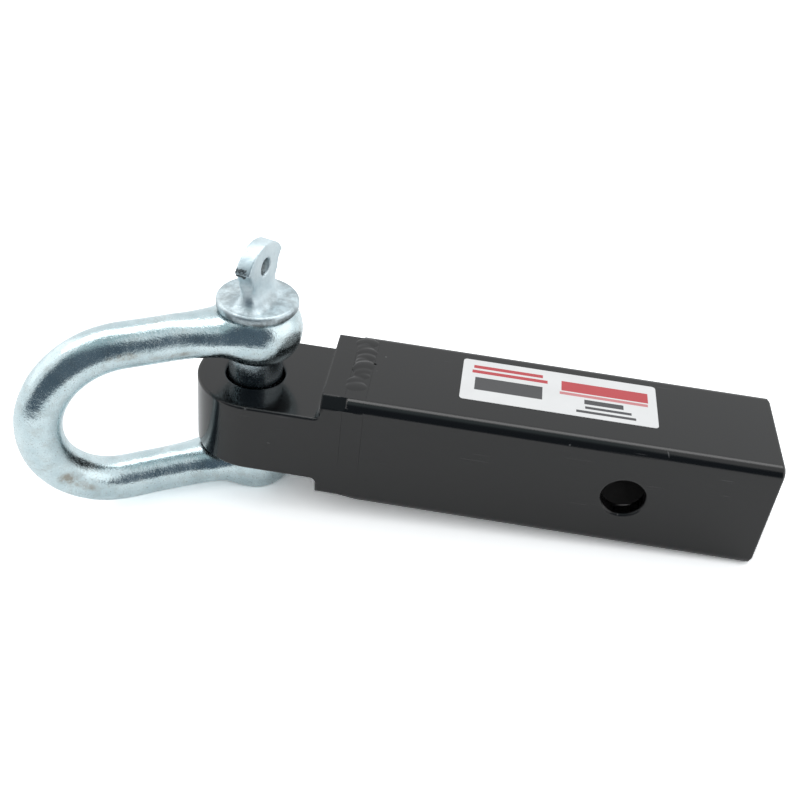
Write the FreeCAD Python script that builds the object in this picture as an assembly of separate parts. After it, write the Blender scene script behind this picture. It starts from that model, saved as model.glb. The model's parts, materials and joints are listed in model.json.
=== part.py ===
import FreeCAD, Part
import math
import os

# Hitch receiver clevis: a hollow square shank, a solid tongue welded to its end, and a screw pin shackle.
# Millimetres. X runs along the shank (the shackle is at -X), Y across it, Z up along the shackle pin.
# The origin is on the shank's axis, at the middle of the hitch pin bore.

# Shank tube
shank_side = 50.8
shank_wall = 6.35
shank_corner_r = 4.5
shank_inner_r = 1.2
hitch_bore_r = 8.75
hitch_bore_chamfer = 0.7
hitch_bore_to_end = 57.5
shank_end_chamfer = 1.2

# Tongue block
hitch_bore_to_step = 123.3
block_length = 13.0
block_chamfer = 4.0
tongue_thick = 31.0
tongue_pin_to_step = 31.0
tongue_end_r = shank_side / 2.0
tongue_end_to_pin = 1.8
step_fillet_r = 2.5
tongue_edge_round = 0.9
tongue_hole_over_pin = 1.0
tongue_hole_chamfer = 0.8

# Weld seam between the block and the tube
weld_half_width = 4.2
weld_depth = 3.6
weld_crown = 1.1
weld_crown_over = 0.9
weld_crown_sunk = 0.35

# Shackle
shackle_seat_gap = 0.3
shackle_jaw = 43.5
bar_r = 9.2
bow_centre_to_pin = 54.8
bow_spread = 1.1
ear_r = 18.4
ear_thick = 20.0
ear_face_r = 14.6
ear_edge_r = 3.0
arm_root_half_width = 13.2
arm_root_half_height = 9.5
arm_root_at = 8.0
arm_run_out = 36.0
arm_steps = 6
bow_steps = 14
bar_ring_points = 16
rest_swing_deg = 31.5

# Screw pin
pin_r = 11.0
pin_in_ear_gap = 0.4
pin_thread_gap = 0.1
pin_end_inset = 0.8
pin_end_chamfer = 1.6
collar_r = 16.4
collar_thick = 4.0
collar_edge_r = 1.3
tab_thick = 6.3
tab_fan_r = 15.9
tab_fan_height = 8.1
tab_tip_angle_deg = 31.0
tab_tip_round = 0.8
tab_neck_half_width = 10.0
tab_neck_height = 8.6
tab_foot_r = 5.0
tab_foot_lip = 0.25
tab_foot_corner_r = 0.6
tab_foot_over_neck = 0.1
tab_foot_steps = 6
tab_eye_height = 14.3
tab_eye_r = 3.45
tab_eye_chamfer = 0.4
tab_turn_deg = 74.7

# Label
label_length = 79.5
label_width = 27.8
label_thick = 0.2
label_corner_r = 1.5
label_to_bore = -30.6
label_off_axis = 3.7

half = shank_side / 2.0
x_end = hitch_bore_to_end
x_step = -hitch_bore_to_step
x_joint = x_step + block_length
x_pin = x_step - tongue_pin_to_step
z_tongue = tongue_thick / 2.0
z_low_face = -z_tongue - shackle_seat_gap
z_up_face = z_low_face + shackle_jaw
z_mid = (z_low_face + z_up_face) / 2.0
z_ear_top = z_up_face + ear_thick
z_ear_bottom = z_low_face - ear_thick
z_collar_top = z_ear_top + collar_thick
ear_to_mid = shackle_jaw / 2.0 + ear_thick / 2.0
bow_r = ear_to_mid + bow_spread
tongue_hole_r = pin_r + tongue_hole_over_pin

X = FreeCAD.Vector(1, 0, 0)
Y = FreeCAD.Vector(0, 1, 0)
Z = FreeCAD.Vector(0, 0, 1)


def vec(x, y, z):
    return FreeCAD.Vector(x, y, z)


def square_wire(x, side, corner):
    """Square outline across the shank at x, its four corners rounded."""
    h = side / 2.0
    k = h - corner
    d = corner * math.sqrt(0.5)
    edges = []
    for i in range(4):
        c, s = [(1, 0), (0, 1), (-1, 0), (0, -1)][i]

        def at(u, v):
            return vec(x, u * c - v * s, u * s + v * c)

        edges.append(Part.makeLine(at(h, -k), at(h, k)))
        edges.append(Part.Arc(at(h, k), at(k + d, k + d), at(k, h)).toShape())
    return Part.Wire(edges)


def square_bar(x0, x1, side, corner):
    return Part.Face(square_wire(x0, side, corner)).extrude(vec(x1 - x0, 0, 0))


def bore_chamfer(y, r, depth, inward):
    """Cone that breaks a bore's rim on the side face at y."""
    return Part.makeCone(r + depth, r, depth, vec(0, y, 0), vec(0, inward, 0))


# The seam: a V groove filled all round, left proud on the top and ground flush on the sides and underside.
seam_reach = weld_half_width + weld_crown_over
groove = Part.makePolygon([
    vec(x_joint - weld_half_width, 0, half),
    vec(x_joint, 0, half - weld_depth),
    vec(x_joint + weld_half_width, 0, half),
    vec(x_joint - weld_half_width, 0, half),
])
spine = square_wire(x_joint, shank_side, shank_corner_r)
groove_ring = Part.Wire(spine).makePipeShell([groove], True, True)
crown_from = vec(x_joint - seam_reach, 0, half - weld_crown_sunk)
crown_to = vec(x_joint + seam_reach, 0, half - weld_crown_sunk)
crown_arc = Part.Arc(crown_from, vec(x_joint, 0, half + weld_crown), crown_to).toShape()
crown_chord = Part.makeLine(crown_to, crown_from)
crown_ring = Part.Wire(spine).makePipeShell([Part.Wire([crown_arc, crown_chord])], True, True)

# Shank tube: square, hollow, open at the far end, with the hitch pin bore through both side walls.
tube = square_bar(x_joint, x_end, shank_side, shank_corner_r)
end_edges = [e for e in tube.Edges if e.BoundBox.XMin > x_end - 0.01]
tube = tube.makeChamfer(shank_end_chamfer, end_edges)
tube = tube.cut(square_bar(x_joint - 1, x_end + 1, shank_side - 2 * shank_wall, shank_inner_r))
tube = tube.cut(Part.makeCylinder(hitch_bore_r, shank_side + 2, vec(0, -half - 1, 0), Y))
tube = tube.cut(bore_chamfer(-half, hitch_bore_r, hitch_bore_chamfer, 1))
tube = tube.cut(bore_chamfer(half, hitch_bore_r, hitch_bore_chamfer, -1))
tube = tube.cut(groove_ring)

# Tongue block: a chamfered square bar, stepped down above and below to a tongue with a round end.
section = Part.makePolygon([
    vec(x_step, -half + block_chamfer, half),
    vec(x_step, half - block_chamfer, half),
    vec(x_step, half, half - block_chamfer),
    vec(x_step, half, -half + block_chamfer),
    vec(x_step, half - block_chamfer, -half),
    vec(x_step, -half + block_chamfer, -half),
    vec(x_step, -half, -half + block_chamfer),
    vec(x_step, -half, half - block_chamfer),
    vec(x_step, -half + block_chamfer, half),
])
block = Part.Face(section).extrude(vec(block_length, 0, 0))
x_round = x_pin + tongue_end_to_pin
tongue = Part.makeBox(x_step + 1 - x_round, shank_side, tongue_thick, vec(x_round, -half, -z_tongue))
tongue = tongue.fuse(Part.makeCylinder(tongue_end_r, tongue_thick, vec(x_round, 0, -z_tongue), Z))
block = block.fuse(tongue).removeSplitter()
inner = [
    e for e in block.Edges
    if abs(e.BoundBox.XMin - x_step) < 0.01 and abs(e.BoundBox.XMax - x_step) < 0.01
    and abs(abs(e.BoundBox.ZMin) - z_tongue) < 0.01 and e.BoundBox.ZLength < 0.01
]
block = block.makeFillet(step_fillet_r, inner)
rims = [
    e for e in block.Edges
    if e.BoundBox.XLength > 1 and e.BoundBox.XMax < x_step + 0.01
    and abs(e.BoundBox.ZMin) > z_tongue - 0.01 and abs(e.BoundBox.ZMax) > z_tongue - 0.01
    and (e.BoundBox.YLength < 0.01 or e.BoundBox.ZLength < 0.01)
]
block = block.makeFillet(tongue_edge_round, rims)
block = block.cut(Part.makeCylinder(tongue_hole_r, tongue_thick + 2, vec(x_pin, 0, -z_tongue - 1), Z))
for z, way in ((z_tongue, -1), (-z_tongue, 1)):
    block = block.cut(Part.makeCone(
        tongue_hole_r + tongue_hole_chamfer, tongue_hole_r, tongue_hole_chamfer, vec(x_pin, 0, z), vec(0, 0, way)))
block = block.cut(groove_ring)

top_side = Part.makeBox(4 * seam_reach, shank_side, shank_side, vec(x_joint - 2 * seam_reach, -half, 0))
weld = groove_ring.fuse(crown_ring.common(top_side))
weld = weld.cut(tube).cut(block)

# Shackle, drawn straight ahead of the tongue along -X, then swung to where it rests.
def ear_barrel(z0, z1):
    """Forged eye round the pin: its side bulges between two flat faces, with rounded rims."""
    low, high = vec(ear_face_r, 0, z0), vec(ear_face_r, 0, z1)
    bulge = Part.Arc(low, vec(ear_r, 0, (z0 + z1) / 2.0), high).toShape()
    foot, top = vec(0, 0, z0), vec(0, 0, z1)
    wire = Part.Wire([Part.makeLine(foot, low), bulge, Part.makeLine(high, top), Part.makeLine(top, foot)])
    barrel = Part.Face(wire).revolve(vec(0, 0, 0), Z, 360)
    rims = [e for e in barrel.Edges if e.BoundBox.ZLength < 0.01 and e.BoundBox.XLength > ear_face_r]
    return barrel.makeFillet(ear_edge_r, rims)


def bar_ring(along, z, lean, half_width, half_height):
    """Oval section of the bar at a point of its centre line; lean is the line's tilt out of the straight."""
    points = []
    for i in range(bar_ring_points):
        t = 2 * math.pi * i / bar_ring_points
        rise = half_height * math.sin(t)
        points.append(vec(-along - rise * math.sin(lean), half_width * math.cos(t), z + rise * math.cos(lean)))
    curve = Part.BSplineCurve()
    curve.interpolate(points, PeriodicFlag=True)
    return Part.Wire(curve.toShape())


def arm_ring(along, side):
    """Section of an arm, above (1) or below (-1) the middle: toward the ear it swells and draws in."""
    t = min(1.0, max(0.0, (along - arm_root_at) / (arm_run_out - arm_root_at)))
    swell = (1 - t) ** 2 * (1 + 2 * t)
    half_width = bar_r + (arm_root_half_width - bar_r) * swell
    half_height = bar_r + (arm_root_half_height - bar_r) * swell
    z = z_mid + side * (bow_r - bow_spread * swell)
    return bar_ring(along, z, 0.0 if side > 0 else math.pi, half_width, half_height)


arm_stations = [arm_root_at + (bow_centre_to_pin - arm_root_at) * i / arm_steps for i in range(arm_steps)]
rings = [arm_ring(a, 1) for a in arm_stations]
for i in range(bow_steps + 1):
    turn = math.pi * i / bow_steps
    rings.append(bar_ring(
        bow_centre_to_pin + bow_r * math.sin(turn), z_mid + bow_r * math.cos(turn), turn, bar_r, bar_r))
rings += [arm_ring(a, -1) for a in reversed(arm_stations)]
shackle = Part.makeLoft(rings, True)
for z in (z_mid - ear_to_mid, z_mid + ear_to_mid):
    shackle = shackle.fuse(ear_barrel(z - ear_thick / 2.0, z + ear_thick / 2.0))
shackle = shackle.removeSplitter()
shackle = shackle.cut(Part.makeCylinder(pin_r + pin_in_ear_gap, ear_thick + 2, vec(0, 0, z_up_face - 1), Z))
shackle = shackle.cut(Part.makeCylinder(pin_r + pin_thread_gap, ear_thick + 2, vec(0, 0, z_ear_bottom - 1), Z))

# Screw pin: shaft, collar and a flat fan-shaped tab with an eye, all one forging.
shaft_bottom = z_ear_bottom + pin_end_inset
shaft = Part.makeCylinder(pin_r, z_ear_top - shaft_bottom + 1, vec(0, 0, shaft_bottom), Z)
shaft = shaft.makeChamfer(pin_end_chamfer, [e for e in shaft.Edges if e.BoundBox.ZMax < shaft_bottom + 0.01])
collar = Part.makeCylinder(collar_r, collar_thick, vec(0, 0, z_ear_top), Z)
collar = collar.makeFillet(collar_edge_r, [e for e in collar.Edges if e.BoundBox.ZLength < 0.01])

z_eye = z_collar_top + tab_eye_height
z_fan = z_collar_top + tab_fan_height
tip_angle = math.radians(tab_tip_angle_deg)
tip_half_width = tab_fan_r * math.cos(tip_angle)
z_tip = z_fan + tab_fan_r * math.sin(tip_angle)
z_neck = z_collar_top + tab_neck_height
y_face = tab_thick / 2.0


def flank(side):
    """One side of the tab, from its foot up the straight neck and out under the tip."""
    foot = vec(side * tab_neck_half_width, -y_face, z_ear_top + collar_thick / 2.0)
    neck = vec(side * tab_neck_half_width, -y_face, z_neck)
    out = tip_half_width - tab_neck_half_width
    rise = z_tip - z_neck
    sweep_r = (out ** 2 + rise ** 2) / (2 * out)
    turn = math.atan2(out, rise)
    under_x = tab_neck_half_width + sweep_r * (1 - math.cos(turn))
    under = vec(side * under_x, -y_face, z_neck + sweep_r * math.sin(turn))
    tip = vec(side * tip_half_width, -y_face, z_tip)
    return foot, tip, [Part.makeLine(foot, neck), Part.Arc(neck, under, tip).toShape()]


foot_a, tip_a, side_a = flank(-1)
foot_b, tip_b, side_b = flank(1)
fan_top = Part.Arc(tip_a, vec(0, -y_face, z_fan + tab_fan_r), tip_b).toShape()
outline = Part.Wire(Part.__sortEdges__(side_a + [fan_top] + side_b + [Part.makeLine(foot_b, foot_a)]))
tab = Part.Face(outline).extrude(vec(0, tab_thick, 0))
upright = [e for e in tab.Edges if e.BoundBox.YLength > y_face and e.BoundBox.ZMin > z_collar_top]
tab = tab.makeFillet(tab_tip_round, [e for e in upright if abs(e.BoundBox.ZMin - z_tip) < 0.01])
tab = tab.cut(Part.makeCylinder(tab_eye_r, 2 * tab_thick, vec(0, -tab_thick, z_eye), Y))
for way in (-1, 1):
    tab = tab.cut(Part.makeCone(
        tab_eye_r + tab_eye_chamfer, tab_eye_r, tab_eye_chamfer, vec(0, way * y_face, z_eye), vec(0, -way, 0)))

def foot_ring(rise):
    """Section of the tab's flared foot at a height above the collar: the neck's section, let out all round."""
    flare = tab_foot_r - math.sqrt(tab_foot_r ** 2 - (tab_foot_r - rise) ** 2) + tab_foot_over_neck
    a = tab_neck_half_width + flare
    b = y_face + flare
    r = tab_foot_corner_r + flare
    c = r * (1 - math.sqrt(0.5))
    z = z_collar_top + rise
    edges = []
    for sx, sy in ((1, 1), (-1, 1), (-1, -1), (1, -1)):
        on_end = vec(sx * a, sy * (b - r), z)
        on_face = vec(sx * (a - r), sy * b, z)
        middle = vec(sx * (a - c), sy * (b - c), z)
        first, last = (on_end, on_face) if sx * sy > 0 else (on_face, on_end)
        edges.append(Part.Arc(first, middle, last).toShape())
    links = [Part.makeLine(edges[i].Vertexes[-1].Point, edges[(i + 1) % 4].Vertexes[0].Point) for i in range(4)]
    return Part.Wire([e for pair in zip(edges, links) for e in pair])


foot_rises = [
    tab_foot_lip + (tab_foot_r - tab_foot_lip) * (i / tab_foot_steps) ** 1.5 for i in range(tab_foot_steps + 1)]
foot = Part.makeLoft([foot_ring(rise) for rise in foot_rises], True)
sole = Part.Face(foot_ring(tab_foot_lip)).extrude(vec(0, 0, -collar_thick / 2.0))
pin = shaft.fuse(collar).fuse([tab, foot, sole]).removeSplitter()
pin.rotate(vec(0, 0, 0), Z, tab_turn_deg)

shackle.rotate(vec(0, 0, 0), Z, rest_swing_deg)
shackle.translate(vec(x_pin, 0, 0))
pin.translate(vec(x_pin, 0, 0))

# Paper label on the top of the tube.
label = Part.makeBox(label_length, label_width, label_thick)
label = label.makeFillet(label_corner_r, [e for e in label.Edges if e.BoundBox.ZLength > label_thick / 2.0])
label.translate(vec(label_to_bore - label_length / 2.0, label_off_axis - label_width / 2.0, half))

os.makedirs("parts", exist_ok=True)
nodes = {
    "shank_tube": tube,
    "tongue_block": block,
    "weld_seam": weld,
    "shackle_bow": shackle,
    "screw_pin": pin,
    "paper_label": label,
}
for name, shape in nodes.items():
    print(name, shape.ShapeType, len(shape.Solids), shape.isValid(), round(shape.Volume, 1))
    shape.exportStep("parts/" + name + ".step")
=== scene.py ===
# %% [markdown]
# # A hitch receiver clevis
# A square steel shank slides into a receiver. A solid tongue is welded to its end, and a zinc plated
# screw pin shackle swivels on the tongue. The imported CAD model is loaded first, as a fixed frame in
# metres: every piece below is made where the frame says, and rides on one of its bodies.

# %% Load the frame
import json
import math

import bmesh
import bpy
from mathutils import Euler, Matrix, Vector, noise


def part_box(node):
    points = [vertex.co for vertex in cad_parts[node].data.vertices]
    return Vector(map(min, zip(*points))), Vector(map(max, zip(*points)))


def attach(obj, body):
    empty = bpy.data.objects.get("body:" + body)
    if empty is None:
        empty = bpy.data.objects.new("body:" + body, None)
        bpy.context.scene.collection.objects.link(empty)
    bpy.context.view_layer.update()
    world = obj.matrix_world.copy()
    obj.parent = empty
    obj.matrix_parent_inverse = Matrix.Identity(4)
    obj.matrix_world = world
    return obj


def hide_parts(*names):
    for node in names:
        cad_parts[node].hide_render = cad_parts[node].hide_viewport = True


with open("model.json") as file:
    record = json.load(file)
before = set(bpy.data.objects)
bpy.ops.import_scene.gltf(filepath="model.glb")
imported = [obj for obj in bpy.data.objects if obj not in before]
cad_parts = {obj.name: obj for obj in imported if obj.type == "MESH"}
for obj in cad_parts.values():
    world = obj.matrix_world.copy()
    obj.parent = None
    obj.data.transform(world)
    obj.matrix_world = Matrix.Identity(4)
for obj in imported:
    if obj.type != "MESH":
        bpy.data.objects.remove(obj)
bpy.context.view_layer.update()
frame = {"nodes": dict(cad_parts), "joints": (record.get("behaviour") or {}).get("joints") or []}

MM = 0.001
nodes = frame["nodes"]
scene = bpy.context.scene
for name in sorted(nodes):
    low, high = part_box(name)
    print(name, [round((high[i] - low[i]) / MM, 1) for i in range(3)], "mm")

# %% [markdown]
# ## Reading places off the frame
# Places that several pieces share are read from the CAD nodes and joints instead of being typed in again,
# so that the looks stay on the solids. The swivel joint gives the pin's axis, and the boxes of the nodes
# give the heights of the shank's faces, the ears and the lower end of the pin.

# %% Shared places
pin_x = frame["joints"][0]["pos_m"][0]
half_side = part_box("shank_tube")[1][2]
weld_x = (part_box("weld_seam")[0][0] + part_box("weld_seam")[1][0]) / 2
ear_low, ear_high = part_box("shackle_bow")[0][2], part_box("shackle_bow")[1][2]
pin_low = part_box("screw_pin")[0][2]
rest_swing = math.radians(31.5)              # how far the shackle hangs to the front at rest
bow_way = Vector((-math.cos(rest_swing), -math.sin(rest_swing), 0.0))
print("pin axis at x", round(pin_x / MM, 1), "weld at x", round(weld_x / MM, 1), "mm")

# %% [markdown]
# ## Helpers for colours and nodes
# Colours are written as sRGB hex values, the way a colour picker shows them, and one function turns them
# into the linear values that shaders work in. A second function adds a node together with its values and
# links, so that a material reads as a list of what feeds what.

# %% Colour and node helpers
def linear(hex_colour):
    channels = [int(hex_colour[i:i + 2], 16) / 255 for i in (1, 3, 5)]
    return tuple(c / 12.92 if c <= 0.04045 else ((c + 0.055) / 1.055) ** 2.4 for c in channels) + (1.0,)


def add(tree, kind, inputs=None, **settings):
    """Adds a node. inputs maps a socket's name or number to a value, or to an output to link from."""
    node = tree.nodes.new(kind)
    for key, value in settings.items():
        setattr(node, key, value)
    for key, value in (inputs or {}).items():
        if isinstance(value, bpy.types.NodeSocket):
            tree.links.new(value, node.inputs[key])
        else:
            node.inputs[key].default_value = value
    return node


def new_material(name):
    material = bpy.data.materials.new(name)
    material.use_nodes = True
    material.node_tree.nodes.clear()
    return material, material.node_tree


def spots_mask(tree, place, marks):
    """Mask that is 1 inside soft ellipsoids. A mark is its place and half sizes in mm and its turn."""
    total = None
    for at, sizes, turn in marks:
        local = add(tree, "ShaderNodeMapping", {
            "Vector": place, "Location": [v * MM for v in at], "Scale": [v * MM for v in sizes],
            "Rotation": [math.radians(v) for v in turn]}, vector_type="TEXTURE")
        reach = add(tree, "ShaderNodeVectorMath", {0: local.outputs[0]}, operation="LENGTH")
        mark = add(tree, "ShaderNodeMapRange", {
            "Value": reach.outputs["Value"], "From Min": 1.0, "From Max": 0.5})
        if total is None:
            total = mark.outputs[0]
        else:
            either = add(tree, "ShaderNodeMath", {0: total, 1: mark.outputs[0]}, operation="MAXIMUM")
            total = either.outputs[0]
    return total


# %% [markdown]
# ## Helpers for meshes
# A CAD mesh comes as loose triangles, so a copy is joined up before anything is done to it. Modifiers do the
# shaping, and the result is turned into a plain mesh at once: the piece then sits at the origin, unturned,
# with its place in its own vertices.

# %% Mesh helpers
def new_object(name, mesh):
    obj = bpy.data.objects.new(name, mesh)
    scene.collection.objects.link(obj)
    return obj


def plain(obj):
    """Applies an object's modifiers by swapping in the evaluated mesh."""
    mesh = bpy.data.meshes.new_from_object(obj.evaluated_get(bpy.context.evaluated_depsgraph_get()))
    obj.modifiers.clear()
    obj.data = mesh
    return obj


def modify(obj, kind, **settings):
    modifier = obj.modifiers.new(kind.lower(), kind)
    for key, value in settings.items():
        setattr(modifier, key, value)
    return modifier


def joined_copy(node, name, flat_deg=0.6):
    """Copy of a CAD node with its triangles joined and its flat faces made whole again."""
    bm = bmesh.new()
    bm.from_mesh(nodes[node].data)
    bmesh.ops.remove_doubles(bm, verts=bm.verts, dist=2e-6)
    if flat_deg:
        bmesh.ops.dissolve_limit(bm, angle_limit=math.radians(flat_deg), verts=bm.verts, edges=bm.edges)
    mesh = bpy.data.meshes.new(name)
    bm.to_mesh(mesh)
    bm.free()
    return new_object(name, mesh)


def finish_piece(obj, body, node, slot, *materials):
    if not obj.data.materials:
        for material in materials:
            obj.data.materials.append(material)
    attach(obj, body)
    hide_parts(node)
    print(obj.name, "rides on", body, "with", len(obj.data.polygons), "faces")


# %% [markdown]
# ## Black enamel, sprayed
# Shank, tongue and weld share one coat of black gloss enamel. Sprayed enamel flows out almost flat and keeps
# a faint orange peel of one or two millimetres. Handling leaves hair scratches along the shank and specks of
# dust. Paint is no metal: its own colour is nearly black, and the grey that the eye sees on the top face is
# the room's reflection, so the gloss matters more than the colour. A coat draws back from sharp edges and
# rounds them: the Bevel node does that in the shading, except at the weld, where the coat runs on unbroken.

# %% Black enamel
enamel_chips = [
    ((-102.3, 10.1, 25.4), (0.55, 0.55, 0.55), (0, 0, 0)), ((-25.5, -25.2, 22.3), (0.5, 0.5, 0.5), (0, 0, 0)),
    ((-152.8, -25.2, 15.1), (0.6, 0.6, 0.6), (0, 0, 0)), ((-143.1, -25.4, -0.2), (0.7, 0.5, 0.3), (0, 20, 0)),
    ((12.2, -23.7, 24.1), (0.35, 1.5, 1.7), (0, 0, 25))]
enamel_pits = [((-106.0, 3.8, 25.6), (1.0, 0.8, 0.9), (0, 0, 0))]


def black_enamel():
    material, tree = new_material("black enamel, sprayed")
    place = add(tree, "ShaderNodeTexCoord").outputs["Object"]
    peel = add(tree, "ShaderNodeTexNoise", {"Vector": place, "Scale": 1 / (1.6 * MM), "Detail": 2.0})
    cloud = add(tree, "ShaderNodeTexNoise", {"Vector": place, "Scale": 1 / (30 * MM), "Detail": 4.0})
    along = add(tree, "ShaderNodeMapping", {"Vector": place, "Scale": (0.03, 1.0, 1.0)})
    # hair scratches are finer than this, and are drawn coarse enough to show
    hair = add(tree, "ShaderNodeTexNoise", {
        "Vector": along.outputs[0], "Scale": 1 / (0.6 * MM), "Detail": 3.0})
    scratch = add(tree, "ShaderNodeMapRange", {
        "Value": hair.outputs["Fac"], "From Min": 0.69, "From Max": 0.75})
    few = add(tree, "ShaderNodeMapRange", {
        "Value": cloud.outputs["Fac"], "From Min": 0.5, "From Max": 0.68})
    worn = add(tree, "ShaderNodeMath", {0: scratch.outputs[0], 1: few.outputs[0]}, operation="MULTIPLY")
    dust = add(tree, "ShaderNodeTexVoronoi", {"Vector": place, "Scale": 1 / (8 * MM)})
    speck = add(tree, "ShaderNodeMapRange", {
        "Value": dust.outputs["Distance"], "From Min": 0.05, "From Max": 0.03})
    chance = add(tree, "ShaderNodeSeparateColor", {"Color": dust.outputs["Color"]})
    rare = add(tree, "ShaderNodeMath", {0: chance.outputs["Red"], 1: 0.88}, operation="GREATER_THAN")
    dusty = add(tree, "ShaderNodeMath", {0: speck.outputs[0], 1: rare.outputs[0]}, operation="MULTIPLY")
    bare = spots_mask(tree, place, enamel_chips)
    chipped = add(tree, "ShaderNodeMath", {0: dusty.outputs[0], 1: bare}, operation="MAXIMUM")
    pale = add(tree, "ShaderNodeMath", {0: worn.outputs[0], 1: chipped.outputs[0]}, operation="MAXIMUM")
    pit = spots_mask(tree, place, enamel_pits)
    shine = add(tree, "ShaderNodeMapRange", {"Value": pit, "To Min": 0.5, "To Max": 0.0})
    colour = add(tree, "ShaderNodeMix", {
        "Factor": pale.outputs[0], "A": linear("#09090a"), "B": linear("#4a4a4b")}, data_type="RGBA")
    rough = add(tree, "ShaderNodeMapRange", {
        "Value": cloud.outputs["Fac"], "From Min": 0.3, "From Max": 0.7, "To Min": 0.10, "To Max": 0.17})
    along_x = add(tree, "ShaderNodeSeparateXYZ", {0: place}).outputs["X"]
    off_weld = add(tree, "ShaderNodeMath", {0: along_x, 1: weld_x}, operation="SUBTRACT")
    far = add(tree, "ShaderNodeMath", {0: off_weld.outputs[0]}, operation="ABSOLUTE")
    radius = add(tree, "ShaderNodeMapRange", {
        "Value": far.outputs[0], "From Min": 5.2 * MM, "From Max": 6.2 * MM, "To Max": 1.2 * MM})
    drawn_back = add(tree, "ShaderNodeBevel", {"Radius": radius.outputs[0]}, samples=6)
    bump = add(tree, "ShaderNodeBump", {
        "Height": peel.outputs["Fac"], "Strength": 0.12, "Distance": 0.05 * MM,
        "Normal": drawn_back.outputs[0]})
    shader = add(tree, "ShaderNodeBsdfPrincipled", {
        "Base Color": colour.outputs["Result"], "Roughness": rough.outputs[0], "IOR": 1.52,
        "Specular IOR Level": shine.outputs[0], "Normal": bump.outputs[0]})
    add(tree, "ShaderNodeOutputMaterial", {"Surface": shader.outputs[0]})
    return material


enamel = black_enamel()
print("material:", enamel.name)

# %% [markdown]
# ## Bright zinc plate on a forging
# The shackle and its pin are drop forged, tumbled and plated with bright zinc. The plate is a true metal, so
# almost all of its look is reflection, with the faint blue of its clear passivation. Under it the forging
# shows as a fine skin: dull grains and dark specks of about a millimetre, low waves, small pits, and brown
# stains where the bath dried. The pin's head has gone dull, while its turned shaft is smooth.

# %% Zinc plate
def zinc_plate(
        name, grain_mm, grain, rough_low, rough_high, tone, tone_low, dark_marks, mark_colour, film_share):
    material, tree = new_material(name)
    place = add(tree, "ShaderNodeTexCoord").outputs["Object"]
    fine = add(tree, "ShaderNodeTexNoise", {
        "Vector": place, "Scale": 1 / (grain_mm * MM), "Detail": 5.0, "Roughness": 0.6})
    wave = add(tree, "ShaderNodeTexNoise", {"Vector": place, "Scale": 1 / (8 * MM), "Detail": 4.0})
    cell = add(tree, "ShaderNodeTexVoronoi", {"Vector": place, "Scale": 1 / (4 * MM)})
    pit = add(tree, "ShaderNodeMapRange", {
        "Value": cell.outputs["Distance"], "From Min": 0.03, "From Max": 0.13})
    skin = add(tree, "ShaderNodeMath", {0: fine.outputs["Fac"], 1: pit.outputs[0]}, operation="MULTIPLY")
    bump = add(tree, "ShaderNodeBump", {"Height": skin.outputs[0], "Strength": grain, "Distance": 0.15 * MM})
    low_wave = add(tree, "ShaderNodeBump", {
        "Height": wave.outputs["Fac"], "Strength": 0.3, "Distance": 0.5 * MM, "Normal": bump.outputs[0]})
    rough = add(tree, "ShaderNodeMapRange", {
        "Value": wave.outputs["Fac"], "From Min": 0.3, "From Max": 0.7,
        "To Min": rough_low, "To Max": rough_high})
    grit = add(tree, "ShaderNodeTexNoise", {"Vector": place, "Scale": 1 / (0.6 * MM), "Detail": 3.0})
    dull = add(tree, "ShaderNodeMapRange", {
        "Value": grit.outputs["Fac"], "From Min": 0.54, "From Max": 0.68})
    grainy = add(tree, "ShaderNodeMix", {0: dull.outputs[0], 2: rough.outputs[0], 3: 0.38})
    blotch = add(tree, "ShaderNodeMapRange", {
        "Value": wave.outputs["Fac"], "From Min": 0.35, "From Max": 0.65})
    colour = add(tree, "ShaderNodeMix", {
        "Factor": blotch.outputs[0], "A": linear(tone_low), "B": linear(tone)}, data_type="RGBA")
    patchiness = add(tree, "ShaderNodeTexNoise", {
        "Vector": place, "Scale": 1 / (5 * MM), "Detail": 9.0, "Roughness": 0.68})
    film = add(tree, "ShaderNodeMapRange", {
        "Value": patchiness.outputs["Fac"], "From Min": 0.5, "From Max": 0.72, "To Max": film_share})
    thick = add(tree, "ShaderNodeMapRange", {
        "Value": patchiness.outputs["Fac"], "From Min": 0.36, "From Max": 0.58, "To Max": 0.8})
    # the listed marks darken the metal: stains on the bow, and on the pin a darker collar and tab
    marked = add(tree, "ShaderNodeMath", {
        0: spots_mask(tree, place, dark_marks), 1: thick.outputs[0]}, operation="MULTIPLY")
    specks = add(tree, "ShaderNodeMapRange", {
        "Value": grit.outputs["Fac"], "From Min": 0.60, "From Max": 0.72, "To Max": film_share * 1.3})
    dust = add(tree, "ShaderNodeMath", {0: film.outputs[0], 1: specks.outputs[0]}, operation="MAXIMUM")
    darkening = add(tree, "ShaderNodeMath", {0: dust.outputs[0], 1: marked.outputs[0]}, operation="MAXIMUM")
    darkened_tone = add(tree, "ShaderNodeMix", {
        "Factor": darkening.outputs[0], "A": colour.outputs["Result"],
        "B": linear(mark_colour)}, data_type="RGBA")
    shader = add(tree, "ShaderNodeBsdfPrincipled", {
        "Base Color": darkened_tone.outputs["Result"], "Metallic": 1.0, "Roughness": grainy.outputs[0],
        "Normal": low_wave.outputs[0]})
    add(tree, "ShaderNodeOutputMaterial", {"Surface": shader.outputs[0]})
    return material


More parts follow.
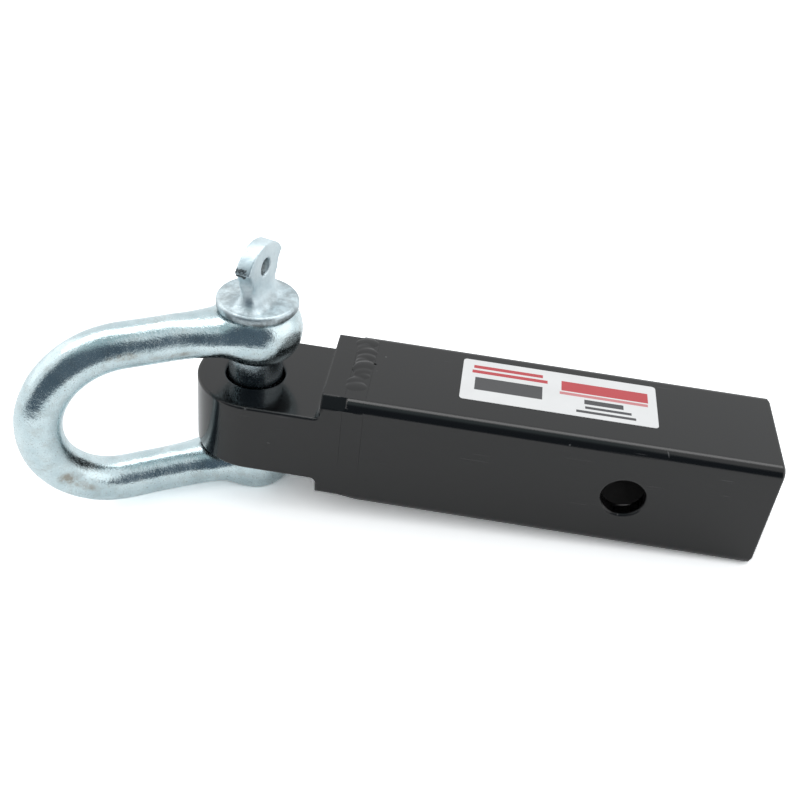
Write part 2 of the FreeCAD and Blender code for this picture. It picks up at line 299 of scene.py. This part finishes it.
bow_stains = [
    ((-212.3, -46.2, -19.6), (6.0, 3.0, 2.5), (0, 35, 30)),
    ((-217.0, -49.0, -14.0), (6.0, 5.0, 4.0), (0, 0, 0)),
    ((-196.2, -36.3, 39.5), (9.0, 3.0, 2.2), (0, 0, 30)),
    ((-180.0, -28.0, 36.5), (12.0, 3.0, 2.0), (0, 0, 30))]
head_dark_marks = [
    # the first two marks make the pin's collar darker, most towards its foot on the ear, and the shaft just
    # below it
    ((pin_x / MM, 0, 49.0), (40, 40, 0.8), (0, 0, 0)), ((pin_x / MM, 0, 46.0), (40, 40, 9), (0, 0, 0)),
    ((pin_x / MM, 0, 66.0), (3.6, 7, 7), (0, 0, -15.3)),
    ((-158.0, -12.2, 67.0), (3.0, 2.5, 3.4), (0, 0, 0))]
zinc = zinc_plate(
    "bright zinc plate on a forging", grain_mm=0.9, grain=0.6, rough_low=0.12, rough_high=0.22,
    tone="#d4e4e8", tone_low="#c2d4d9", dark_marks=bow_stains, mark_colour="#8d8375", film_share=0.34)
zinc_head = zinc_plate(
    "dull zinc plate on a forged head", grain_mm=1.3, grain=0.8, rough_low=0.42, rough_high=0.52,
    tone="#d8e4e8", tone_low="#c4d3d9", dark_marks=head_dark_marks, mark_colour="#5c5f60", film_share=0.14)
zinc_shaft = zinc_plate(
    "bright zinc plate on turned steel", grain_mm=0.3, grain=0.3, rough_low=0.16, rough_high=0.24,
    tone="#c9d5da", tone_low="#b5c4ca", dark_marks=head_dark_marks, mark_colour="#5c5f60", film_share=0.2)
print("materials:", zinc.name, "and", zinc_head.name, "and", zinc_shaft.name)

# %% [markdown]
# ## Shank tube and tongue
# Both are taken from the frame, with their flat faces made whole. They are shaded smooth, but an edge over
# 30 degrees stays sharp, so the round corners of the tube run evenly and the saw cuts stay cuts. Weighted
# normals then keep the large faces flat right up to where their rounded corners start. The spray gun never
# reached the inside of the tube: there the dull skin of the rolling mill is left.

# %% Painted steel
def painted_steel(node, name):
    obj = joined_copy(node, name)
    obj.data.shade_smooth()
    obj.data.set_sharp_from_angle(angle=math.radians(30))
    modify(obj, "WEIGHTED_NORMAL", keep_sharp=True, weight=90)
    return plain(obj)


def mill_scale():
    """A dark, flaky skin, too dull for clear reflections."""
    material, tree = new_material("mill scale on rolled steel")
    place = add(tree, "ShaderNodeTexCoord").outputs["Object"]
    flake = add(tree, "ShaderNodeTexNoise", {"Vector": place, "Scale": 1 / (4 * MM), "Detail": 6.0})
    colour = add(tree, "ShaderNodeMix", {
        "Factor": flake.outputs["Fac"], "A": linear("#0b0b0c"), "B": linear("#262322")}, data_type="RGBA")
    shader = add(tree, "ShaderNodeBsdfPrincipled", {
        "Base Color": colour.outputs["Result"], "Roughness": 0.65})
    add(tree, "ShaderNodeOutputMaterial", {"Surface": shader.outputs[0]})
    return material


tube = painted_steel("shank_tube", "square_shank_tube")
mill_skin = mill_scale()
free_wall = 6 * MM                           # just under the tube's wall
for face in tube.data.polygons:
    inside = max(abs(face.center.y), abs(face.center.z)) < half_side - free_wall
    face.material_index = 1 if inside else 0
finish_piece(tube, "shank", "shank_tube", "black_paint", enamel, mill_skin)
tongue = painted_steel("tongue_block", "welded_tongue")
finish_piece(tongue, "shank", "tongue_block", "black_paint", enamel)

# %% [markdown]
# ## The weld, a row of frozen ripples
# A weld bead is laid down by a moving pool of metal, and each time the pool freezes it leaves a ripple. The
# ripples repeat along a path, so Geometry Nodes place them: points at an even pitch on the seam's path, a
# flat dome on each that leans back on the one before, and a seeded random turn, size and drift for the
# welder's hand. A voxel remesh then melts the domes into one skin. The front, the back and the underside of
# the seam are ground flush, so the path only runs over the top. The CAD bead under them is drawn in until it
# fills the groove level, and its sunk edges slide up the slanted walls of the groove.

# %% Path of the weld
seam_front, seam_back = -14.5 * MM, 17.0 * MM
seam_z = half_side - 0.35 * MM               # just under the skin
seam_mesh = bpy.data.meshes.new("seam")
seam_mesh.from_pydata([(weld_x, seam_front, seam_z), (weld_x, seam_back, seam_z)], [(0, 1)], [])
print("seam path of", round((seam_back - seam_front) / MM, 1), "mm")


# %% Ripple tree
def new_tree(name, sockets):
    tree = bpy.data.node_groups.new(name, "GeometryNodeTree")
    tree.interface.new_socket("Geometry", in_out="INPUT", socket_type="NodeSocketGeometry")
    tree.interface.new_socket("Geometry", in_out="OUTPUT", socket_type="NodeSocketGeometry")
    for label, kind in sockets:
        tree.interface.new_socket(label, in_out="INPUT", socket_type="NodeSocket" + kind)
    return tree, add(tree, "NodeGroupInput").outputs


def run_tree(obj, tree, values):
    """Hangs the tree on obj, sets its inputs by their identifiers, and makes the result plain."""
    modifier = modify(obj, "NODES", node_group=tree)
    for item in tree.interface.items_tree:
        if item.in_out == "INPUT" and item.name in values:
            modifier[item.identifier] = values[item.name]
    obj.update_tag()
    return plain(obj)


ripples, given = new_tree("weld ripples", [
    ("Pitch", "Float"), ("Ripple size", "Vector"), ("Lean", "Vector"), ("Turn", "Vector"),
    ("Wander", "Vector"), ("Seed", "Int"), ("Material", "Material")])
seam = add(ripples, "GeometryNodeMeshToCurve", {"Mesh": given["Geometry"]})
spots = add(ripples, "GeometryNodeCurveToPoints", {
    "Curve": seam.outputs[0], "Length": given["Pitch"]}, mode="LENGTH")
facing = add(ripples, "FunctionNodeAxesToRotation", {
    "Primary Axis": spots.outputs["Tangent"], "Secondary Axis": (1.0, 0.0, 0.0)},
    primary_axis="Y", secondary_axis="X")
least_turn = add(ripples, "ShaderNodeVectorMath", {0: given["Lean"], 1: given["Turn"]}, operation="SUBTRACT")
most_turn = add(ripples, "ShaderNodeVectorMath", {0: given["Lean"], 1: given["Turn"]}, operation="ADD")
hand = add(ripples, "FunctionNodeRandomValue", {
    0: least_turn.outputs[0], 1: most_turn.outputs[0], "Seed": given["Seed"]}, data_type="FLOAT_VECTOR")
hand_turn = add(ripples, "FunctionNodeEulerToRotation", {0: hand.outputs[0]})
turned = add(ripples, "FunctionNodeRotateRotation", {
    0: facing.outputs[0], 1: hand_turn.outputs[0]}, rotation_space="LOCAL")
grow = add(ripples, "FunctionNodeRandomValue", {
    "Min": 0.82, "Max": 1.12, "Seed": given["Seed"]}, data_type="FLOAT")
grown = add(ripples, "ShaderNodeVectorMath", {
    0: given["Ripple size"], "Scale": grow.outputs[1]}, operation="SCALE")
dome = add(ripples, "GeometryNodeMeshUVSphere", {"Segments": 20, "Rings": 10, "Radius": 1.0})
back_wander = add(ripples, "ShaderNodeVectorMath", {0: given["Wander"], "Scale": -1.0}, operation="SCALE")
drift = add(ripples, "FunctionNodeRandomValue", {
    0: back_wander.outputs[0], 1: given["Wander"], "Seed": given["Seed"]}, data_type="FLOAT_VECTOR")
drifted = add(ripples, "GeometryNodeSetPosition", {"Geometry": spots.outputs[0], "Offset": drift.outputs[0]})
row = add(ripples, "GeometryNodeInstanceOnPoints", {
    "Points": drifted.outputs[0], "Instance": dome.outputs[0], "Rotation": turned.outputs[0],
    "Scale": grown.outputs[0]})
real = add(ripples, "GeometryNodeRealizeInstances", {0: row.outputs[0]})
made = add(ripples, "GeometryNodeSetMaterial", {"Geometry": real.outputs[0], "Material": given["Material"]})
add(ripples, "NodeGroupOutput", {0: made.outputs[0]})
print("tree:", ripples.name, "with", len(ripples.nodes), "nodes")

# %% Weld bead
def join_meshes(name, *objs):
    bm = bmesh.new()
    for obj in objs:
        bm.from_mesh(obj.data)
        bpy.data.objects.remove(obj)
    mesh = bpy.data.meshes.new(name)
    bm.to_mesh(mesh)
    bm.free()
    return new_object(name, mesh)


bead = run_tree(new_object("ripples", seam_mesh), ripples, {
    "Pitch": 3.3 * MM, "Ripple size": (5.2 * MM, 4.2 * MM, 0.62 * MM), "Lean": (0.11, 0.0, 0.35),
    "Turn": (0.06, 0.06, 0.35), "Wander": (1.2 * MM, 0.8 * MM, 0.12 * MM), "Seed": 7, "Material": enamel})
modify(bead, "REMESH", mode="VOXEL", voxel_size=0.3 * MM, use_smooth_shade=True)
modify(bead, "SMOOTH", factor=0.5, iterations=16)
plain(bead)
print("ripples of", len(bead.data.polygons), "faces")

# %% Filled groove
corner = 4.5 * MM                            # round corners of the tube
block_cut = 4.0 * MM                         # cut-off corners of the tongue's block
inner = half_side - corner
block_from = weld_x - 2.6 * MM               # the bead's edge on the block
deepest_edge = 0.6 * MM                      # what is sunk deeper is the groove's own wall
filled = joined_copy("weld_seam", "filled groove", 0)
for vertex in filled.data.vertices:
    y, z = abs(vertex.co.y) - inner, abs(vertex.co.z) - inner
    out = Vector((0, max(y, 0.0), max(z, 0.0)))
    proud = out.length - corner
    if vertex.co.x < block_from and min(y, z) > 0:
        sides = (y - corner, z - corner, (y + z - 2 * corner + block_cut) * math.sqrt(0.5))
        proud = max(sides)
        out = Vector(((0, 1, 0), (0, 0, 1), (0, 1, 1))[sides.index(proud)])
    if proud > -deepest_edge:
        vertex.co.x += min(proud, 0.0) * math.copysign(1.0, weld_x - vertex.co.x)
        out = out.normalized() * (proud + 0.01 * MM)
        vertex.co.y -= out.y * math.copysign(1.0, vertex.co.y)
        vertex.co.z -= out.z * math.copysign(1.0, vertex.co.z)
for face in filled.data.polygons:
    face.use_smooth = min(abs(face.center.y), abs(face.center.z)) > inner
filled.data.set_sharp_from_angle(angle=math.radians(30))
weld = join_meshes("weld_bead", filled, bead)
finish_piece(weld, "shank", "weld_seam", "black_paint", enamel)

# %% [markdown]
# ## The forged shackle
# A drop forging has no corners where its ears grow out of the bar: the steel flowed into the die and left
# soft fillets. The CAD piece gives the form, a voxel remesh gives it an even skin, and a Smooth modifier
# works only where a vertex group allows it. The group keeps the bores and their faces as they are.

# %% Shackle
def smoothstep(low, high, value):
    t = min(1.0, max(0.0, (value - low) / (high - low)))
    return t * t * (3 - 2 * t)


def off_axis(vertex):
    return math.hypot(vertex.co.x - pin_x, vertex.co.y)


shackle = joined_copy("shackle_bow", "forged_shackle", 0)
modify(shackle, "REMESH", mode="VOXEL", voxel_size=0.7 * MM, use_smooth_shade=True)
plain(shackle)
blend = shackle.vertex_groups.new(name="flowed steel")
for vertex in shackle.data.vertices:
    weight = smoothstep(12.5 * MM, 16 * MM, off_axis(vertex))
    if weight > 0:
        blend.add([vertex.index], weight, "REPLACE")
root = shackle.vertex_groups.new(name="root of the arms")
for vertex in shackle.data.vertices:
    reach = off_axis(vertex)
    ahead = (vertex.co - Vector((pin_x, 0, 0))).dot(bow_way)
    weight = smoothstep(13 * MM, 17 * MM, reach) * smoothstep(34 * MM, 24 * MM, reach)
    weight *= smoothstep(2 * MM, 9 * MM, ahead)
    if weight > 0:
        root.add([vertex.index], weight, "REPLACE")
modify(shackle, "SMOOTH", factor=0.5, iterations=140, vertex_group=root.name)
modify(shackle, "SMOOTH", factor=0.5, iterations=20, vertex_group=blend.name)
plain(shackle)
outward = [vertex.normal.copy() for vertex in shackle.data.vertices]
for vertex, normal in zip(shackle.data.vertices, outward):
    reach = off_axis(vertex)
    lump = noise.noise(vertex.co / (11 * MM)) * 0.10 + noise.noise(vertex.co / (3.5 * MM)) * 0.04
    vertex.co += normal * lump * MM * smoothstep(14 * MM, 20 * MM, reach)
finish_piece(shackle, "shackle", "shackle_bow", "zinc_plate", zinc)

# %% [markdown]
# ## The screw pin
# The pin's head is a round collar with a flat tab, and its lower end is cut with a thread that screws into
# the lower ear. The thread is a ridge that follows a helix, so Geometry Nodes make it: a spiral curve with a
# small triangle carried along it, over a plain core. Its crests stay inside the CAD shaft.

# %% Thread tree
threads, given = new_tree("screw thread", [
    ("Core radius", "Float"), ("Crest height", "Float"), ("Pitch", "Float"), ("Turns", "Float"),
    ("Bottom", "Vector"), ("Material", "Material")])
rise = add(threads, "ShaderNodeMath", {0: given["Pitch"], 1: given["Turns"]}, operation="MULTIPLY")
helix = add(threads, "GeometryNodeCurveSpiral", {
    "Resolution": 40, "Rotations": given["Turns"], "Start Radius": given["Core radius"],
    "End Radius": given["Core radius"], "Height": rise.outputs[0]})
half_pitch = add(threads, "ShaderNodeMath", {0: given["Pitch"], 1: 0.46}, operation="MULTIPLY")
foot = add(threads, "ShaderNodeMath", {0: half_pitch.outputs[0], 1: -1.0}, operation="MULTIPLY")
sunk = add(threads, "ShaderNodeMath", {0: given["Crest height"], 1: -0.3}, operation="MULTIPLY")
corner_low = add(threads, "ShaderNodeCombineXYZ", {"X": sunk.outputs[0], "Y": foot.outputs[0]})
corner_high = add(threads, "ShaderNodeCombineXYZ", {"X": sunk.outputs[0], "Y": half_pitch.outputs[0]})
crest = add(threads, "ShaderNodeCombineXYZ", {"X": given["Crest height"]})
ridge = add(threads, "GeometryNodeCurvePrimitiveQuadrilateral", {
    "Point 1": corner_low.outputs[0], "Point 2": crest.outputs[0], "Point 3": crest.outputs[0],
    "Point 4": corner_high.outputs[0]}, mode="POINTS")
swept = add(threads, "GeometryNodeCurveToMesh", {
    "Curve": helix.outputs[0], "Profile Curve": ridge.outputs[0], "Fill Caps": True})
moved = add(threads, "GeometryNodeTransform", {"Geometry": swept.outputs[0], "Translation": given["Bottom"]})
real = add(threads, "GeometryNodeRealizeInstances", {0: moved.outputs[0]})
made = add(threads, "GeometryNodeSetMaterial", {"Geometry": real.outputs[0], "Material": given["Material"]})
add(threads, "NodeGroupOutput", {0: made.outputs[0]})
print("tree:", threads.name, "with", len(threads.nodes), "nodes")

# %% Pin
pin = joined_copy("screw_pin", "screw_pin_head", 0)
thread_top = ear_low + 19 * MM               # the smooth shaft is cut short to here
tip = 5 * MM                                 # no edge of the shaft but its end lies lower than this
for vertex in pin.data.vertices:
    if vertex.co.z < pin_low + tip:
        vertex.co.z += thread_top - pin_low
modify(pin, "REMESH", mode="VOXEL", voxel_size=0.42 * MM, use_smooth_shade=True)
plain(pin)
collar_top = ear_high + 4 * MM               # the tab's foot flares out from here
flare = pin.vertex_groups.new(name="flared foot")
for vertex in pin.data.vertices:
    up = vertex.co.z - collar_top
    weight = smoothstep(-0.6 * MM, 0.2 * MM, up) * smoothstep(9 * MM, 5 * MM, up)
    weight *= smoothstep(15.2 * MM, 13 * MM, off_axis(vertex))
    if weight > 0:
        flare.add([vertex.index], weight, "REPLACE")
modify(pin, "SMOOTH", factor=0.5, iterations=260, vertex_group=flare.name)
modify(pin, "SMOOTH", factor=0.5, iterations=2)
plain(pin)
print("pin's head and shaft of", len(pin.data.polygons), "faces")

# %% Threaded end
core_r, crest_h, pitch = 9.7 * MM, 1.2 * MM, 2.5 * MM
turns = (thread_top - pin_low - 2.6 * MM) / pitch
helix_piece = run_tree(new_object("helix", bpy.data.meshes.new("helix")), threads, {
    "Core radius": core_r, "Crest height": crest_h, "Pitch": pitch, "Turns": turns,
    "Bottom": (pin_x, 0.0, pin_low + 1.6 * MM), "Material": zinc_shaft})
bm = bmesh.new()
core_top = thread_top + 2 * MM
bmesh.ops.create_cone(bm, cap_ends=True, segments=64, radius1=core_r - 0.8 * MM, radius2=core_r,
                      depth=1.2 * MM, matrix=Matrix.Translation((pin_x, 0, pin_low + 0.6 * MM)))
bmesh.ops.create_cone(bm, cap_ends=True, segments=64, radius1=core_r, radius2=core_r,
                      depth=core_top - pin_low - 1.2 * MM,
                      matrix=Matrix.Translation((pin_x, 0, (core_top + pin_low + 1.2 * MM) / 2)))
core_mesh = bpy.data.meshes.new("core")
bm.to_mesh(core_mesh)
bm.free()
core = new_object("core", core_mesh)
core.data.shade_smooth()
core.data.set_sharp_from_angle(angle=math.radians(40))
print("thread of", round(turns, 1), "turns")

# %% [markdown]
# ## The burr on the tab
# The edge of the tab has a small rough patch, as trimming leaves where it tears a forging's flash. Torn steel
# takes little plate, so it looks dark and crumbly next to the bright zinc. A bump could only shade it, so
# Geometry Nodes strew small turned chips over a patch of the edge. The patch is a grid whose points are moved
# to the nearest places on the tab.

# %% Burr tree
chips, given = new_tree("burr on the tab", [
    ("Density", "Float"), ("Chip low", "Vector"), ("Chip high", "Vector"), ("Seed", "Int"),
    ("Material", "Material")])
strewn = add(chips, "GeometryNodeDistributePointsOnFaces", {
    "Mesh": given["Geometry"], "Density": given["Density"], "Seed": given["Seed"]})
chip = add(chips, "GeometryNodeMeshIcoSphere", {"Radius": 1.0, "Subdivisions": 1})
any_turn = add(chips, "FunctionNodeRandomValue", {
    1: (6.28, 6.28, 6.28), "Seed": given["Seed"]}, data_type="FLOAT_VECTOR")
any_size = add(chips, "FunctionNodeRandomValue", {
    0: given["Chip low"], 1: given["Chip high"], "Seed": given["Seed"]}, data_type="FLOAT_VECTOR")
rough_patch = add(chips, "GeometryNodeInstanceOnPoints", {
    "Points": strewn.outputs["Points"], "Instance": chip.outputs["Mesh"], "Rotation": any_turn.outputs[0],
    "Scale": any_size.outputs[0]})
real = add(chips, "GeometryNodeRealizeInstances", {0: rough_patch.outputs[0]})
made = add(chips, "GeometryNodeSetMaterial", {"Geometry": real.outputs[0], "Material": given["Material"]})
add(chips, "NodeGroupOutput", {0: made.outputs[0]})
print("tree:", chips.name, "with", len(chips.nodes), "nodes")


# %% Burr
def torn_steel():
    material, tree = new_material("torn steel, thinly plated")
    place = add(tree, "ShaderNodeTexCoord").outputs["Object"]
    grit = add(tree, "ShaderNodeTexNoise", {"Vector": place, "Scale": 1 / (0.5 * MM), "Detail": 4.0})
    tone = add(tree, "ShaderNodeMix", {
        "Factor": grit.outputs["Fac"], "A": linear("#33383a"), "B": linear("#8d979b")}, data_type="RGBA")
    shader = add(tree, "ShaderNodeBsdfPrincipled", {
        "Base Color": tone.outputs["Result"], "Metallic": 1.0, "Roughness": 0.5})
    add(tree, "ShaderNodeOutputMaterial", {"Surface": shader.outputs[0]})
    return material


torn = torn_steel()
tab_turn = math.radians(74.7)                # how far the tab is turned about the pin
tab_out = Vector((-math.cos(tab_turn), -math.sin(tab_turn), 0))
tab_side = Vector((tab_out.y, -tab_out.x, 0))
bm = bmesh.new()
bmesh.ops.create_grid(bm, x_segments=6, y_segments=6, size=1.0)
for vertex in bm.verts:
    across, up = 2.6 * vertex.co.x + 0.9, 3.0 * vertex.co.y
    spot = Vector((pin_x, 0, 68.5 * MM)) + (tab_out * 14 + tab_side * across + Vector((0, 0, up))) * MM
    vertex.co = pin.closest_point_on_mesh(spot)[1]
patch_mesh = bpy.data.meshes.new("torn patch")
bm.to_mesh(patch_mesh)
bm.free()
burr = run_tree(new_object("torn patch", patch_mesh), chips, {
    "Density": 2.4 / MM ** 2, "Chip low": (0.2 * MM, 0.2 * MM, 0.15 * MM),
    "Chip high": (0.8 * MM, 0.8 * MM, 0.4 * MM), "Seed": 4, "Material": torn})
print("burr of", len(burr.data.polygons), "faces")

# %% Whole pin
whole = (pin, helix_piece, core, burr)
for obj, index in zip(whole, (0, 1, 1, 2)):
    for face in obj.data.polygons:
        face.material_index = 1 if index == 0 and face.center.z < ear_high - 1 * MM else index
screw_pin = join_meshes("screw_pin_with_tab", *whole)
finish_piece(screw_pin, "pin", "screw_pin", "zinc_plate", zinc_head, zinc_shaft, torn)

# %% [markdown]
# ## The paper label
# A white paper label with plain fields of red and charcoal ink is stuck on the top face. Coated paper is
# bright with a soft sheen, and the inks sink in and share that sheen. An image could carry the fields, but
# here the CAD label is cut along their edges, and each small face takes the paper or an ink, so that the
# edges stay sharp at any size.

# %% Paper and inks
def printed(name, colour, rough):
    material, tree = new_material(name)
    place = add(tree, "ShaderNodeTexCoord").outputs["Object"]
    # paper fibres are finer than this, and are drawn coarse enough to show
    fibre = add(tree, "ShaderNodeTexNoise", {"Vector": place, "Scale": 1 / (0.35 * MM), "Detail": 4.0})
    darkening = add(tree, "ShaderNodeTexNoise", {"Vector": place, "Scale": 1 / (14 * MM), "Detail": 3.0})
    shade = add(tree, "ShaderNodeMapRange", {
        "Value": darkening.outputs["Fac"], "From Min": 0.3, "From Max": 0.7, "To Min": 0.94, "To Max": 1.0})
    tone = add(tree, "ShaderNodeVectorMath", {
        0: linear(colour)[:3], "Scale": shade.outputs[0]}, operation="SCALE")
    bump = add(tree, "ShaderNodeBump", {
        "Height": fibre.outputs["Fac"], "Strength": 0.15, "Distance": 0.02 * MM})
    shader = add(tree, "ShaderNodeBsdfPrincipled", {
        "Base Color": tone.outputs[0], "Roughness": rough, "IOR": 1.5, "Normal": bump.outputs[0]})
    add(tree, "ShaderNodeOutputMaterial", {"Surface": shader.outputs[0]})
    return material


paper = printed("white label paper, coated", "#efefef", 0.5)
red_ink = printed("red printing ink on paper", "#c8454b", 0.5)
rose_ink = printed("pale red printing ink on paper", "#d78a8c", 0.5)
dark_ink = printed("charcoal printing ink on paper", "#4a4a4c", 0.5)
print("materials:", paper.name, red_ink.name, rose_ink.name, dark_ink.name)

# %% Label
label_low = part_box("paper_label")[0]
fields = [                    # x from the left edge, y from the lower edge, width, height in mm, ink
    (4.5, 22.0, 28.5, 2.1, 1), (4.0, 18.6, 31.0, 2.1, 1),
    (5.5, 7.2, 27.5, 8.6, 3),
    (40.7, 15.6, 35.3, 6.6, 1), (40.0, 13.0, 35.8, 1.8, 2),
    (50.0, 8.6, 15.8, 3.0, 3), (50.3, 5.6, 18.6, 1.6, 3), (46.7, 2.6, 23.9, 1.6, 3)]
label = joined_copy("paper_label", "printed_paper_label")
for material in (paper, red_ink, rose_ink, dark_ink):
    label.data.materials.append(material)
bm = bmesh.new()
bm.from_mesh(label.data)
for x, y, w, h, ink in fields:
    for axis, at in ((0, x), (0, x + w), (1, y), (1, y + h)):
        point = Vector(label_low)
        point[axis] += at * MM
        normal = Vector((0, 0, 0))
        normal[axis] = 1.0
        whole_mesh = bm.verts[:] + bm.edges[:] + bm.faces[:]
        bmesh.ops.bisect_plane(bm, geom=whole_mesh, plane_co=point, plane_no=normal)
for face in bm.faces:
    spot = (face.calc_center_median() - label_low) / MM
    if face.normal.z > 0.9:
        for x, y, w, h, ink in fields:
            if x < spot.x < x + w and y < spot.y < y + h:
                face.material_index = ink
bm.to_mesh(label.data)
bm.free()
finish_piece(label, "shank", "paper_label", "label_paper")

# %% [markdown]
# ## Floor
# The clevis rests on its lower ear and on the rear edge of the tube, since the ear hangs lower than the tube.
# The floor is therefore laid under those two places, a few degrees off level in the object's frame. It is a
# matt grey sheet. To the camera and in mirror images it is lifted to white, which changes no light on the
# object.

# %% Floor
rest_ear = Vector((-141.9 * MM, 0, ear_low))
rest_tube = Vector((56.3 * MM, 0, -half_side))
slope = math.atan2(rest_tube.z - rest_ear.z, rest_tube.x - rest_ear.x)
floor_material, tree = new_material("matt paper backdrop")
ray = add(tree, "ShaderNodeLightPath").outputs
mirrored = add(tree, "ShaderNodeMix", {
    "Factor": ray["Is Glossy Ray"], "A": linear("#e4e4e4"), "B": (1.1, 1.1, 1.1, 1.0)}, data_type="RGBA")
sheet = add(tree, "ShaderNodeMix", {
    "Factor": ray["Is Camera Ray"], "A": mirrored.outputs["Result"],
    "B": (1.8, 1.8, 1.8, 1.0)}, data_type="RGBA")
matt = add(tree, "ShaderNodeBsdfDiffuse", {"Color": sheet.outputs["Result"]})
add(tree, "ShaderNodeOutputMaterial", {"Surface": matt.outputs[0]})
bm = bmesh.new()
bmesh.ops.create_grid(bm, x_segments=1, y_segments=1, size=4.0,
                      matrix=Matrix.Translation(rest_ear) @ Matrix.Rotation(-slope, 4, "Y"))
floor_mesh = bpy.data.meshes.new("floor")
bm.to_mesh(floor_mesh)
bm.free()
floor_mesh.materials.append(floor_material)
floor = new_object("floor", floor_mesh)
print("floor slopes by", round(math.degrees(slope), 2), "degrees")

# %% [markdown]
# ## Studio light
# The room is white all round, and one strip softbox hangs overhead, a little to the back: it draws the thin
# line of light along the shank's corner. Only mirror images see it, so the paper label does not burn out.
# Shiny metal shows its form by what it mirrors, so a dark card gives the streak along the shackle and the
# black band on the shank's corner: it starts on the floor, rises behind the camera and fades to a mid tone up
# to the zenith. White panels at both sides give the ear and the bow their bright patches. Cards and panels
# are plain, even tones, and they too are only seen in mirror images.

# %% World and softbox
world = bpy.data.worlds.new("white studio")
scene.world = world
world.use_nodes = True
tree = world.node_tree
tree.nodes.clear()
to_camera = add(tree, "ShaderNodeLightPath").outputs["Is Camera Ray"]
seen = add(tree, "ShaderNodeMix", {
    "Factor": to_camera, "A": (0.97, 0.99, 1.0, 1.0), "B": (1.0, 1.0, 1.0, 1.0)}, data_type="RGBA")
glow = add(tree, "ShaderNodeBackground", {"Color": seen.outputs["Result"], "Strength": 1.0})
add(tree, "ShaderNodeOutputWorld", {"Surface": glow.outputs[0]})

softbox = bpy.data.lights.new("overhead softbox", "AREA")
softbox.shape = "RECTANGLE"
softbox.size, softbox.size_y = 2.0, 0.46
softbox.energy = 2.4 * math.pi * softbox.size * softbox.size_y
lamp = bpy.data.objects.new("overhead softbox", softbox)
overhead = Vector((-0.04, 0.225, 0.974)).normalized()
lamp.location = Vector((-0.46, 0.0, 0.0)) + overhead * 1.0
lamp.rotation_euler = overhead.to_track_quat("Z", "Y").to_euler()
lamp.visible_diffuse = False
scene.collection.objects.link(lamp)
print("softbox of", round(softbox.energy, 2), "W")

# %% Dark card behind the camera
card_material, tree = new_material("dark cloth behind the camera")
height = add(tree, "ShaderNodeSeparateXYZ", {0: add(tree, "ShaderNodeTexCoord").outputs["Object"]})
fade = add(tree, "ShaderNodeMapRange", {
    "Value": height.outputs["Z"], "From Min": 0.37, "From Max": 0.98}, interpolation_type="SMOOTHSTEP")
shade = add(tree, "ShaderNodeValToRGB", {"Fac": fade.outputs[0]})
shade.color_ramp.elements[0].color = (0.10, 0.13, 0.16, 1.0)
shade.color_ramp.elements[1].color = (0.47, 0.58, 0.60, 1.0)
cloth = add(tree, "ShaderNodeEmission", {"Color": shade.outputs["Color"], "Strength": 1.0})
add(tree, "ShaderNodeOutputMaterial", {"Surface": cloth.outputs[0]})
card_mesh = bpy.data.meshes.new("dark card")
card_left, card_turn, card_right = -0.70, 0.20, 0.43
tall_part = [(-0.19, -0.026), (-0.44, -0.026), (-0.44, 1.05), (-0.03, 1.05)]
low_part = [(-0.19, -0.026), (-0.44, -0.026), (-0.44, 0.62)]
corners = [(x, y, z) for y, z in tall_part for x in (card_left, card_turn)]
corners += [(x, y, z) for y, z in low_part for x in (card_turn, card_right)]
card_mesh.from_pydata(corners, [], [
    (0, 1, 3, 2), (2, 3, 5, 4), (4, 5, 7, 6), (8, 9, 11, 10), (10, 11, 13, 12)])
card_mesh.materials.append(card_material)
card = new_object("dark card", card_mesh)
card.visible_camera = card.visible_diffuse = card.visible_shadow = card.visible_transmission = False
print("dark card", card_right - card_left, "m wide")

# %% White panels at the sides
panel_material, tree = new_material("white cloth over a lamp")
lit = add(tree, "ShaderNodeEmission", {"Color": linear("#ffffff"), "Strength": 1.45})
add(tree, "ShaderNodeOutputMaterial", {"Surface": lit.outputs[0]})
panel_mesh = bpy.data.meshes.new("side panels")
upright = [(0.45, -0.44), (0.80, -0.30), (0.80, 0.45), (-1.00, -0.20), (-1.00, 0.70)]
panel_mesh.from_pydata([(x, y, z) for x, y in upright for z in (0.02, 0.75)], [], [
    (0, 1, 3, 2), (2, 3, 5, 4), (6, 7, 9, 8)])
panel_mesh.materials.append(panel_material)
panels = new_object("side panels", panel_mesh)
panels.visible_camera = panels.visible_diffuse = panels.visible_shadow = panels.visible_transmission = False
print("side panels of", len(panel_mesh.polygons), "faces")

# %% [markdown]
# ## Camera
# The camera was found from the shank's known section: the slopes of its edges give the angle, and the lens
# that makes all of them meet is a 50 mm one, held close and rolled by a few degrees.

# %% Camera
scene.view_settings.view_transform = "Standard"
lens = bpy.data.cameras.new("product camera")
lens.sensor_width = 36.0
lens.lens = 50.02
camera = bpy.data.objects.new("product camera", lens)
camera.location = (-0.07563, -0.3647, 0.28695)
camera.rotation_euler = Euler([math.radians(a) for a in (52.829, -5.676, 7.157)])
scene.collection.objects.link(camera)
scene.camera = camera
print("camera with a lens of", lens.lens, "mm")
